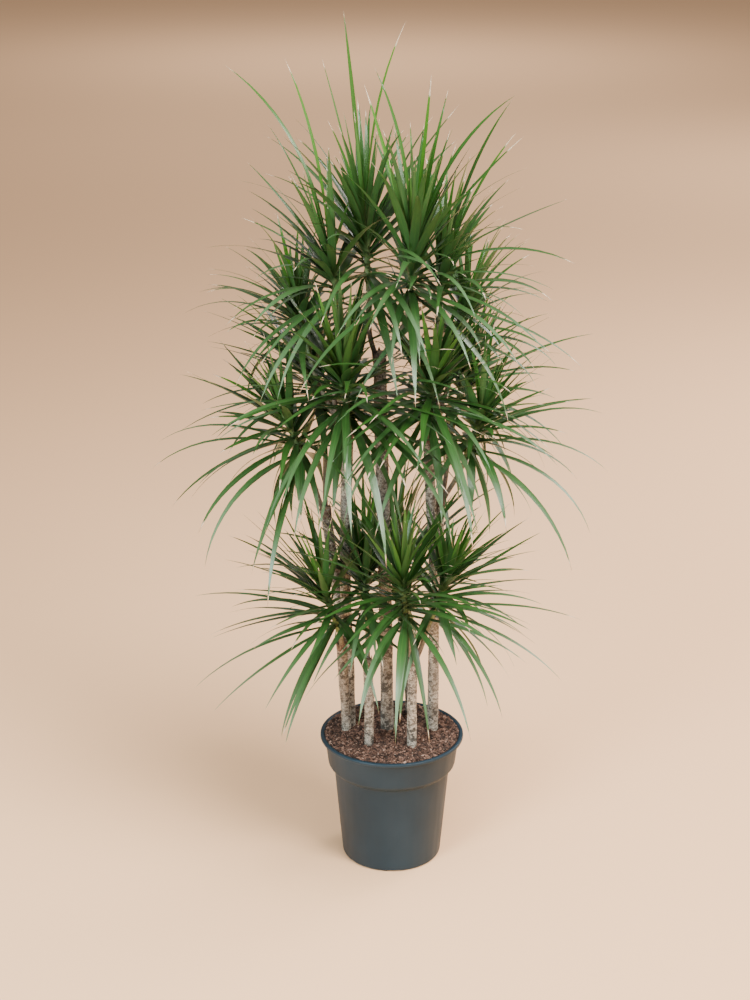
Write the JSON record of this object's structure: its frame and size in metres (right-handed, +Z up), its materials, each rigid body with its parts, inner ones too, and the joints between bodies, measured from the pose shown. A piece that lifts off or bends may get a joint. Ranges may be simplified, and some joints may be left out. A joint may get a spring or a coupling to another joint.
{
  "type": "potted dracaena",
  "caption": "Potted dragon tree: bare canes cut at stepped heights in a tapered nursery pot, each topped by heads of long, narrow, arching leaves.",
  "frame": {"origin": "centre of the pot's underside, on the surface the pot stands on", "axes": "+Z up along the pot's axis, -Y towards the side that the picture shows, +X to its right"},
  "size_m": [0.9394, 0.8258, 1.8305],
  "materials": {
    "pot": "satin",
    "soil": "rough bark and peat",
    "bark": "matt, scarred",
    "leaf": "glossy"
  },
  "bodies": {
    "root": {"pot": "pot", "soil": "soil", "cane_left_short": "bark", "cane_front_left": "bark", "cane_front_right": "bark", "cane_back_short": "bark", "cane_left_outer": "bark", "cane_left_inner": "bark", "cane_centre_tall": "bark", "cane_right_inner": "bark", "cane_right_outer": "bark", "head_low_left": "leaf", "head_low_middle": "leaf", "head_low_front": "leaf", "head_low_right": "leaf", "head_low_back": "leaf", "head_mid_left": "leaf", "head_mid_left_back": "leaf", "head_mid_front_left": "leaf", "head_high_left": "leaf", "head_high_left_back": "leaf", "head_top_left": "leaf", "head_top_right": "leaf", "head_mid_front_right": "leaf", "head_high_right": "leaf", "head_high_right_back": "leaf", "head_mid_right": "leaf", "head_mid_right_back": "leaf"}
  },
  "joints": []
}
